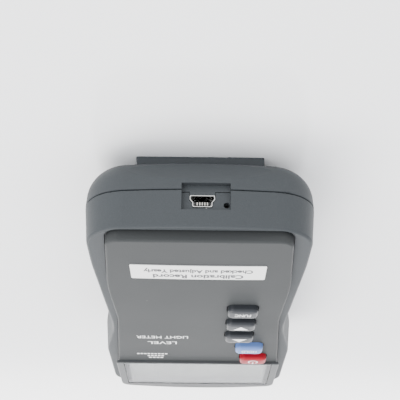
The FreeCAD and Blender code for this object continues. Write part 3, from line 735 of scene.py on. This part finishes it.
class Lettering:
    """Flat printed words and marks, made as thin solid meshes."""

    def __init__(self, palette: "Palette") -> None:
        """Keep the palette that the ink comes from."""
        self.palette = palette

    def words(self, name: str, body_text: str, middle: Point, wide: float, high: float,
              bold: float = 0.01) -> Workpiece:
        """Set some words flat, centred on a point and stretched to a size.

        Args:
            name: the piece's name.
            body_text: the words.
            middle: the centre of the printed area.
            wide: its whole width in metres.
            high: its whole height in metres.
            bold: how far the strokes are thickened, as a share of the letter size.

        Returns:
            The flat mesh as a workpiece.
        """
        bpy.ops.object.select_all(action="DESELECT")
        bpy.ops.object.text_add(location=(0.0, 0.0, 0.0))
        letters = bpy.context.object
        letters.data.body = body_text
        letters.data.offset = bold
        letters.data.resolution_u = 4
        bpy.ops.object.convert(target="MESH")
        piece = Workpiece(name)
        piece.thing = bpy.context.object
        piece.thing.name = name
        self._fit(piece.thing, middle, wide, high)
        return piece

    def _fit(self, thing: bpy.types.Object, middle: Point, wide: float, high: float) -> None:
        """Stretch and place a flat mesh by its own box."""
        spots = [vertex.co for vertex in thing.data.vertices]
        left, right = min(s.x for s in spots), max(s.x for s in spots)
        near, far = min(s.y for s in spots), max(s.y for s in spots)
        centre = Matrix.Translation((-(left + right) / 2, -(near + far) / 2, 0.0))
        stretch = Matrix.Diagonal((wide / (right - left), high / (far - near), 1.0, 1.0))
        thing.data.transform(Matrix.Translation(middle) @ stretch @ centre)

    def polygon(self, name: str, corners: Sequence[tuple[float, float]], level: float) -> Workpiece:
        """A flat closed shape from its corners in plan."""
        mesh = bpy.data.meshes.new(name)
        mesh.from_pydata([(x, y, level) for x, y in corners], [], [tuple(range(len(corners)))])
        piece = Workpiece(name)
        piece.thing = bpy.data.objects.new(name, mesh)
        bpy.context.scene.collection.objects.link(piece.thing)
        return piece

    def print_on(self, piece: Workpiece, ground: bpy.types.Object | None, body: str, ink: str,
                 slot: str, film: float = 0.00003) -> bpy.types.Object:
        """Lay a flat shape on a surface, give it the thickness of ink and dress it.

        Args:
            piece: the flat shape, just above the surface.
            ground: the piece that it is printed on, or None where it already lies at its height.
            body: the CAD body that it moves with.
            ink: the ink's finish.
            slot: the record's slot of the surface.
            film: how far the ink reaches above and below the surface, in metres.

        Returns:
            The printed piece.
        """
        if ground is not None:
            piece.modify("TRIANGULATE")
            piece.modify("SUBSURF", levels=1, render_levels=1, subdivision_type="SIMPLE")
            piece.modify("SHRINKWRAP", target=ground, wrap_method="PROJECT", use_project_z=True,
                         use_negative_direction=True, use_positive_direction=False, offset=INK_LIFT)
        piece.modify("SOLIDIFY", thickness=2 * film, offset=0.0)
        thing = piece.finish(self.palette, slot, body, 20.0, turn_out=False)
        thing.data.materials.clear()
        thing.data.materials.append(self.palette.get(ink))
        return thing


# --- keys

class Legend(Enum):
    """What is printed on a key."""

    FUNCTION = "FUNC"
    DOWN = "down"
    UP = "up"
    HOLD = "HOLD"
    POWER = "power"


@dataclass
class Keypad:
    """Five silicone keys with printed, crowned caps. A crown ring has an inset and a share of the crown."""

    palette: Palette
    letters: Lettering
    flange_extra: float = 1.0 * MM
    flange_thick: float = 0.9 * MM
    cap_sunk: float = 5.2 * MM
    corner: float = 2.3 * MM
    shoulder: float = 1.15 * MM
    crown: float = 0.14 * MM
    crown_rings: tuple[tuple[float, float], ...] = ((0.3 * MM, 0.5), (0.35 * MM, 0.35), (0.3 * MM, 0.15))
    plunger_radius: float = 1.6 * MM
    keys: dict[str, tuple[Legend, str]] = field(default_factory=lambda: {
        "key_function": (Legend.FUNCTION, "key_grey"), "key_down": (Legend.DOWN, "key_grey"),
        "key_up": (Legend.UP, "key_grey"), "key_hold": (Legend.HOLD, "key_blue"),
        "key_power": (Legend.POWER, "key_red")})

    def cap(self, name: str) -> Workpiece:
        """The pillow of one key, from its CAD box.

        Args:
            name: the key's node.

        Returns:
            The cap, rounded and crowned.
        """
        low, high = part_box(name)
        extra = Vector((self.flange_extra, self.flange_extra, 0.0))
        top = high.z - INK_ROOM
        start = Vector((low.x, low.y, high.z - self.cap_sunk)) + extra
        end = Vector((high.x, high.y, top - self.crown)) - extra
        piece = Workpiece(name + "_cap").box(start, end)
        piece.bevel_edges(upright, self.corner, 7)
        piece.bevel_edges(level_at(end.z), self.shoulder, 6)
        middle = (low + high) / 2
        top_face = lambda c, n: n.z > 0.99 and abs(c.x - middle.x) + abs(c.y - middle.y) < 0.1 * MM
        for inset, share in self.crown_rings:
            piece.inset_faces(top_face, inset)
            piece.move_faces(top_face, (0.0, 0.0, self.crown * share))
        return piece

    def under(self, name: str) -> list[Workpiece]:
        """The flange that keeps a key in and the plunger that meets its switch."""
        low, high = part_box(name)
        flange_top = high.z - self.cap_sunk + 0.1 * MM
        flange = Workpiece(name + "_flange").box((low.x, low.y, flange_top - self.flange_thick),
                                                 (high.x, high.y, flange_top))
        flange.bevel_edges(upright, self.corner, 4).bevel_edges(lambda m, w: w.z < 0.5, 0.15 * MM, 2)
        middle = (low + high) / 2
        plunger = Workpiece(name + "_plunger").rod((middle.x, middle.y, low.z), self.plunger_radius,
                                                   flange_top - 0.5 * MM - low.z, sides=32)
        plunger.bevel_edges(level_at(low.z), 0.3 * MM, 3)
        return [flange, plunger]

    def power_sign(self, middle: Vector, level: float) -> Workpiece:
        """An open ring with a bar: the usual standby sign."""
        ring, thick, gap, steps = 2.15 * MM, 0.55 * MM, 0.62, 28
        angles = [math.pi / 2 + gap + (2 * math.pi - 2 * gap) * step / steps for step in range(steps + 1)]
        outer = [(middle.x + ring * math.cos(a), middle.y + ring * math.sin(a)) for a in angles]
        inner = [(middle.x + (ring - thick) * math.cos(a), middle.y + (ring - thick) * math.sin(a))
                 for a in reversed(angles)]
        sign = self.letters.polygon("key_power_sign", outer + inner, level)
        half = thick * 0.55
        bar = [(middle.x - half, middle.y + 0.2 * ring), (middle.x + half, middle.y + 0.2 * ring),
               (middle.x + half, middle.y + 1.3 * ring), (middle.x - half, middle.y + 1.3 * ring)]
        return sign.weld_on([self.letters.polygon("key_power_bar", bar, level)])

    def legend(self, name: str, high: Vector, middle: Vector) -> Workpiece:
        """The flat shape of one key's legend, above its cap."""
        kind = self.keys[name][0]
        level = high.z + 0.2 * MM
        label = name + "_legend"
        if kind is Legend.POWER:
            return self.power_sign(middle, level)
        if kind in (Legend.UP, Legend.DOWN):
            way = 1.0 if kind is Legend.UP else -1.0
            half, tall = 2.9 * MM, 1.7 * MM
            corners = [(middle.x - half, middle.y - way * tall), (middle.x + half, middle.y - way * tall),
                       (middle.x, middle.y + way * tall)]
            return self.letters.polygon(label, corners[::int(way)], level)
        spot = (middle.x, middle.y, level)
        wide = 6.0 * MM if kind is Legend.FUNCTION else 6.2 * MM
        return self.letters.words(label, kind.value, spot, wide, 2.5 * MM)

    def make(self) -> None:
        """Make every key and print its legend."""
        for name, (_, slot) in self.keys.items():
            low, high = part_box(name)
            piece = self.cap(name).weld_on(self.under(name))
            piece.name = name + "_moulding"
            piece.thing.name = piece.name
            key = piece.finish(self.palette, slot, name, 50.0, flats=False)
            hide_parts(name)
            self.letters.print_on(self.legend(name, high, (low + high) / 2), key, name, "ink_white", slot)


# --- label, print and window

@dataclass
class FrontLabel:
    """The stuck-on record label: a thin vinyl strip with rounded corners, laid a little askew."""

    palette: Palette
    letters: Lettering
    askew: float = -0.55
    bow: float = 0.45 * MM
    corner: float = 0.5 * MM
    columns: int = 24
    upper_words: str = "Calibration Record"
    lower_words: str = "Checked and Adjusted Yearly"

    def sheet(self, low: Vector, high: Vector) -> Workpiece:
        """The label itself, bowed in its own plane as it was smoothed down by hand."""
        margin = Vector((0.0, 0.7 * MM, 0.0))
        piece = Workpiece("front_label_sheet").box(low + margin, high - margin)
        piece.bevel_edges(upright, self.corner, 4)
        middle = (low + high) / 2
        step = (high.x - low.x) / self.columns
        piece.open_bench()
        for index in range(1, self.columns):
            bpy.ops.mesh.select_all(action="SELECT")
            bpy.ops.mesh.bisect(plane_co=(low.x + index * step, 0, 0), plane_no=(1, 0, 0))
        piece.close_bench()
        self.bend(piece, middle, high.x - middle.x)
        rim = (high.x - low.x) / 2 - 0.1 * MM
        piece.bevel_edges(lambda m, w: w.z < 0.5 and m.z > high.z - HAIR and abs(m.x - middle.x) > rim,
                          0.05 * MM, 1)
        return piece

    def bend(self, piece: Workpiece, middle: Vector, half: float) -> None:
        """Turn a flat piece askew about the label's middle and bow it."""
        slope = math.tan(math.radians(self.askew))
        for vertex in piece.thing.data.vertices:
            along = vertex.co.x - middle.x
            vertex.co.y += slope * along + self.bow * (1 - (along / half) ** 2) - self.bow / 2

    def make(self) -> None:
        """Make the label and print its two generic lines."""
        low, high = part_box("front_label")
        middle = (low + high) / 2
        label = self.sheet(low, high).finish(self.palette, "label_paper", "meter", 25.0)
        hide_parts("front_label")
        rows = [("front_label_upper", self.upper_words, 3.3, 30.5, 3.3),
                ("front_label_lower", self.lower_words, -1.6, 36.5, 3.8)]
        for name, text, up, wide, tall in rows:
            spot = (middle.x, middle.y + up * MM, high.z + INK_LIFT)
            line = self.letters.words(name, text, spot, wide * MM, tall * MM, bold=0.03)
            self.bend(line, middle, high.x - middle.x)
            self.letters.print_on(line, None, "meter", "ink_black", "label_paper")


@dataclass
class FasciaPrint:
    """White screen print on the fascia: generic words and three rows of short dashes."""

    palette: Palette
    letters: Lettering

    def make(self) -> None:
        """Print the words and the dashes."""
        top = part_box("fascia_panel")[1].z + INK_LIFT
        words = [("print_title", "LIGHT METER", (14.6, 9.4), 21.0, 3.2),
                 ("print_scale", "LEVEL", (14.8, 16.7), 12.0, 3.4)]
        for name, text, (x, y), wide, tall in words:
            line = self.letters.words(name, text, (x * MM, y * MM, top), wide * MM, tall * MM)
            self.letters.print_on(line, None, "meter", "ink_white", "fascia_plastic")
        for index, (x, y, wide) in enumerate([(19.8, 32.2, 13.4), (18.4, 35.0, 7.4), (18.4, 37.6, 6.6)]):
            self.bar(index, x * MM, y * MM, wide * MM, top)

    def bar(self, index: int, x: float, y: float, wide: float, top: float) -> None:
        """One row of short dashes."""
        count = max(3, round(wide / (1.5 * MM)))
        pitch = wide / count
        tall = 0.65 * MM
        dashes = []
        for dash in range(count):
            left = x - wide / 2 + dash * pitch
            right = left + pitch * 0.72
            corners = [(left, y - tall), (right, y - tall), (right, y + tall), (left, y + tall)]
            dashes.append(self.letters.polygon(f"print_bar_{index}", corners, top))
        self.letters.print_on(dashes[0].weld_on(dashes[1:]), None, "meter", "ink_white", "fascia_plastic")


@dataclass
class Plate:
    """A flat part: its CAD box, bevelled, with a gap all round where it is let in."""

    palette: Palette
    node: str
    slot: str
    edge: float
    corner: float = 0.0
    gap: float = 0.0

    def make(self) -> None:
        """Make the plate from the node's own box."""
        low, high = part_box(self.node)
        room = Vector((self.gap, self.gap, 0.0))
        piece = Workpiece(self.node + "_plate").box(low + room, high - room)
        if self.corner:
            piece.bevel_edges(upright, self.corner, 5)
        piece.bevel_edges(level_at(high.z), self.edge, 3)
        made = piece.finish(self.palette, self.slot, "meter", 40.0)
        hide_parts(self.node)


@dataclass
class Chip:
    """A moulded chip with gull-wing legs along two sides."""

    palette: Palette
    node: str
    legs: int

    def make(self) -> None:
        """Make the body, with a dimple by its first leg, and the legs."""
        low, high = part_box(self.node)
        inset = 0.9 * MM
        lift = 0.12 * MM
        body = Workpiece(self.node + "_moulding").box((low.x + inset, low.y, low.z + lift),
                                                      (high.x - inset, high.y, high.z))
        body.bevel_edges(level_at(high.z), 0.12 * MM, 2)
        dimple = Workpiece("dimple").rod((low.x + inset + 1.0 * MM, low.y + 1.0 * MM, high.z - 0.1 * MM),
                                         0.4 * MM, 1.0 * MM, sides=24)
        body.carve(dimple)
        chip = body.finish(self.palette, "chip_black", "meter", 30.0)
        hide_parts(self.node)
        pitch = (high.y - low.y) / (self.legs + 0.4)
        legs = []
        for side, edge in ((-1, low.x), (1, high.x)):
            for index in range(self.legs):
                y = low.y + (index + 0.7) * pitch
                root = edge - side * inset
                leg = Workpiece(f"{self.node}_legs").box((min(root, edge), y - pitch * 0.2, low.z),
                                                         (max(root, edge), y + pitch * 0.2, low.z + 0.2 * MM))
                leg.bevel_edges(level_at(low.z + 0.2 * MM, HAIR / 2), 0.05 * MM, 1)
                legs.append(leg)
        legs[0].weld_on(legs[1:]).finish(self.palette, "can_metal", "meter", 30.0)


# --- the back

@dataclass
class TiltStand:
    """The fold-out stand: a thin plate on a barrel, with ribs in a shallow hollow outside."""

    palette: Palette
    plate_thick: float = 3.3 * MM
    barrel_radius: float = 2.3 * MM
    ribs: int = 5

    def make(self) -> None:
        """Make the plate, its barrel and the ribs."""
        low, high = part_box("tilt_stand")
        barrel_y = -6.0 * MM
        barrel_z = high.z - self.barrel_radius
        end = barrel_y + 1.1 * MM
        plate = Workpiece("tilt_stand_moulding").box(low, (high.x, end, low.z + self.plate_thick))
        plate.bevel_edges(lambda m, w: w.z > 0.99 and m.y < low.y + 0.001, 0.5 * MM, 4)
        plate.bevel_edges(level_at(low.z), 0.25 * MM, 2)
        plate.bevel_edges(level_at(low.z + self.plate_thick), 0.3 * MM, 2)
        margin = 4.5 * MM
        hollow = Workpiece("hollow").box((low.x + margin, low.y + margin, low.z - 1 * MM),
                                         (high.x - margin, end - margin, low.z + 0.6 * MM))
        hollow.bevel_edges(upright, 2.0 * MM, 6)
        plate.carve(hollow)
        wide = high.x - low.x
        barrel = Workpiece("barrel").rod((low.x, barrel_y, barrel_z), self.barrel_radius, wide, "x", 64)
        barrel.bevel_edges(lambda m, w: w.x < 0.01, 0.25 * MM, 2)
        neck = Workpiece("neck").box((low.x + 0.3 * MM, barrel_y - 1.6 * MM, low.z + 1.8 * MM),
                                     (high.x - 0.3 * MM, barrel_y + 1.0 * MM, barrel_z))
        shells = [barrel, neck]
        inner = (high.y - low.y) - 16 * MM
        for index in range(self.ribs):
            y = low.y + 9 * MM + inner * index / (self.ribs - 1)
            rib = Workpiece("rib").box((low.x + 6 * MM, y - 0.6 * MM, low.z + 0.1 * MM),
                                       (high.x - 6 * MM, y + 0.6 * MM, low.z + 1.0 * MM))
            rib.bevel_edges(level_at(low.z + 0.1 * MM), 0.25 * MM, 2)
            shells.append(rib)
        bore = Workpiece("bore").rod((low.x - 1 * MM, barrel_y, barrel_z), 1.05 * MM, wide + 2 * MM, "x", 32)
        for shell in shells:
            plate.carve(shell, "UNION")
        plate.carve(bore)
        stand = plate.finish(self.palette, "stand_plastic", "tilt_stand", 32.0)
        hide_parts("tilt_stand")


@dataclass
class BatteryDoor:
    """The battery door, with a grip of ridges."""

    palette: Palette
    ridges: int = 5

    def make(self) -> None:
        """Make the door from its CAD box."""
        low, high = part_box("battery_door")
        door = Workpiece("battery_door_moulding").box(low, high)
        door.bevel_edges(upright, 1.2 * MM, 5)
        door.bevel_edges(level_at(low.z), 0.25 * MM, 2)
        pad = Workpiece("pad").box((-8 * MM, high.y - 14 * MM, low.z - 1 * MM),
                                   (8 * MM, high.y - 4 * MM, low.z + 0.7 * MM))
        pad.bevel_edges(upright, 2.5 * MM, 6)
        door.carve(pad)
        for index in range(self.ridges):
            y = high.y - 12.6 * MM + index * 1.8 * MM
            ridge = Workpiece("ridge").box((-6.4 * MM, y - 0.45 * MM, low.z + 0.02 * MM),
                                           (6.4 * MM, y + 0.45 * MM, low.z + 1.0 * MM))
            ridge.bevel_edges(level_at(low.z + 0.02 * MM), 0.3 * MM, 3)
            door.carve(ridge, "UNION")
        made = door.finish(self.palette, "door_plastic", "battery_door", 32.0)
        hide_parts("battery_door")


@dataclass
class RubberFeet:
    """Two stick-on feet with a rounded tread and a shallow dish."""

    palette: Palette
    radius: float = 4.5 * MM

    def make(self) -> None:
        """Turn one foot and copy it across."""
        low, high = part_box("rubber_feet")
        x = high.x - self.radius
        y = (low.y + high.y) / 2
        foot = Workpiece("rubber_feet_turned").rod((x, y, low.z), self.radius, high.z - low.z, sides=64)
        foot.bevel_edges(level_at(low.z), 0.9 * MM, 6)
        foot.inset_faces(facing((0, 0, -1), 0.999), 1.1 * MM, -0.35 * MM)
        other = foot.copy("rubber_foot_copy", (-2 * x, 0.0, 0.0))
        made = foot.weld_on([other]).finish(self.palette, "foot_rubber", "meter", 40.0)
        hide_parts("rubber_feet")


@dataclass
class Screws:
    """Pan-head screws with a cross recess, standing for one node of four."""

    palette: Palette
    node: str
    head_radius: float
    head_high: float
    shank_radius: float
    places: tuple[tuple[float, float], ...]

    def one(self, low: Vector, high: Vector, x: float, y: float) -> Workpiece:
        """One screw with its head down."""
        head = Workpiece(self.node + "_turned").rod((x, y, low.z), self.head_radius, self.head_high, sides=48)
        head.bevel_edges(level_at(low.z), self.head_high * 0.45, 5)
        slot = self.head_radius * 0.22
        arm = self.head_radius * 0.62
        deep = self.head_high * 0.6
        for wide, long in ((slot, arm), (arm, slot)):
            head.carve(Workpiece("cross").box((x - wide, y - long, low.z - 1 * MM),
                                              (x + wide, y + long, low.z + deep)))
        shank = Workpiece("shank").rod((x, y, low.z + self.head_high * 0.7), self.shank_radius,
                                       high.z - low.z - self.head_high * 0.7, sides=24)
        shank.bevel_edges(level_at(high.z), self.shank_radius * 0.5, 2)
        return head.weld_on([shank])

    def make(self) -> None:
        """Make one screw and copy it to every place."""
        low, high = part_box(self.node)
        x, y = self.places[0]
        first = self.one(low, high, x, y)
        others = [first.copy(f"{self.node}_copy", (a - x, b - y, 0.0)) for a, b in self.places[1:]]
        made = first.weld_on(others).finish(self.palette, "screw_steel", "meter", 35.0)
        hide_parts(self.node)


@dataclass
class Battery:
    """A 9 V block in its sleeve, with crimped ends."""

    palette: Palette

    def make(self) -> None:
        """Make the block with rounded long edges and a rolled rim at both ends."""
        low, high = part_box("battery")
        block = Workpiece("battery_block").box(low, high)
        block.bevel_edges(lambda m, w: w.y > 0.99, 2.4 * MM, 6)
        ends = lambda c, n: abs(n.y) > 0.99
        block.inset_faces(ends, 0.7 * MM, -0.35 * MM)
        block.bevel_edges(lambda m, w: w.y < 0.5 and (m.y < low.y + HAIR or m.y > high.y - HAIR),
                          0.2 * MM, 2)
        made = block.finish(self.palette, "cell_wrap", "meter", 35.0)
        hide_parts("battery")


# --- CAD nodes

@dataclass
class FixedPieces:
    """The pieces whose shape the frame already has: they get their finish here."""

    palette: Palette

    def make(self) -> None:
        """Dress every node by the slot that the record gives it."""
        slots = {part["node"]: part["material_slot"] for part in frame["record"]["subparts"]}
        for name, piece in frame["nodes"].items():
            self.palette.dress(piece, slots[name])


CASE_SCREWS = ((-0.028, -0.060), (0.028, -0.060), (-0.0305, 0.066), (0.0305, 0.066))
BOARD_SCREWS = ((-0.0285, -0.040), (0.0285, -0.040), (-0.0285, 0.002), (0.0285, 0.002))


def main() -> None:
    """Build every sub-assembly in order and report the pieces."""
    logging.basicConfig(level=logging.INFO, format="%(name)s: %(message)s")
    palette = Palette()
    letters = Lettering(palette)
    builders = [
        Studio(), FixedPieces(palette), Keypad(palette, letters), FrontLabel(palette, letters),
        FasciaPrint(palette, letters),
        Plate(palette, "display_window", "window_clear", 0.15 * MM, corner=0.8 * MM, gap=0.04 * MM),
        Plate(palette, "lcd_glass", "display_cell", 0.15 * MM),
        Plate(palette, "clock_crystal", "can_metal", 0.4 * MM, corner=1.85 * MM),
        Chip(palette, "processor_chip", 11), Chip(palette, "amplifier_chip", 4), Chip(palette, "usb_chip", 8),
        TiltStand(palette), BatteryDoor(palette), RubberFeet(palette),
        Screws(palette, "case_screws", 2.8 * MM, 1.8 * MM, 1.25 * MM, CASE_SCREWS),
        Screws(palette, "board_screws", 2.0 * MM, 1.4 * MM, 1.0 * MM, BOARD_SCREWS),
        Battery(palette)]
    for builder in builders:
        LOG.info("building %s", type(builder).__name__)
        builder.make()


if __name__ == "__main__":
    main()
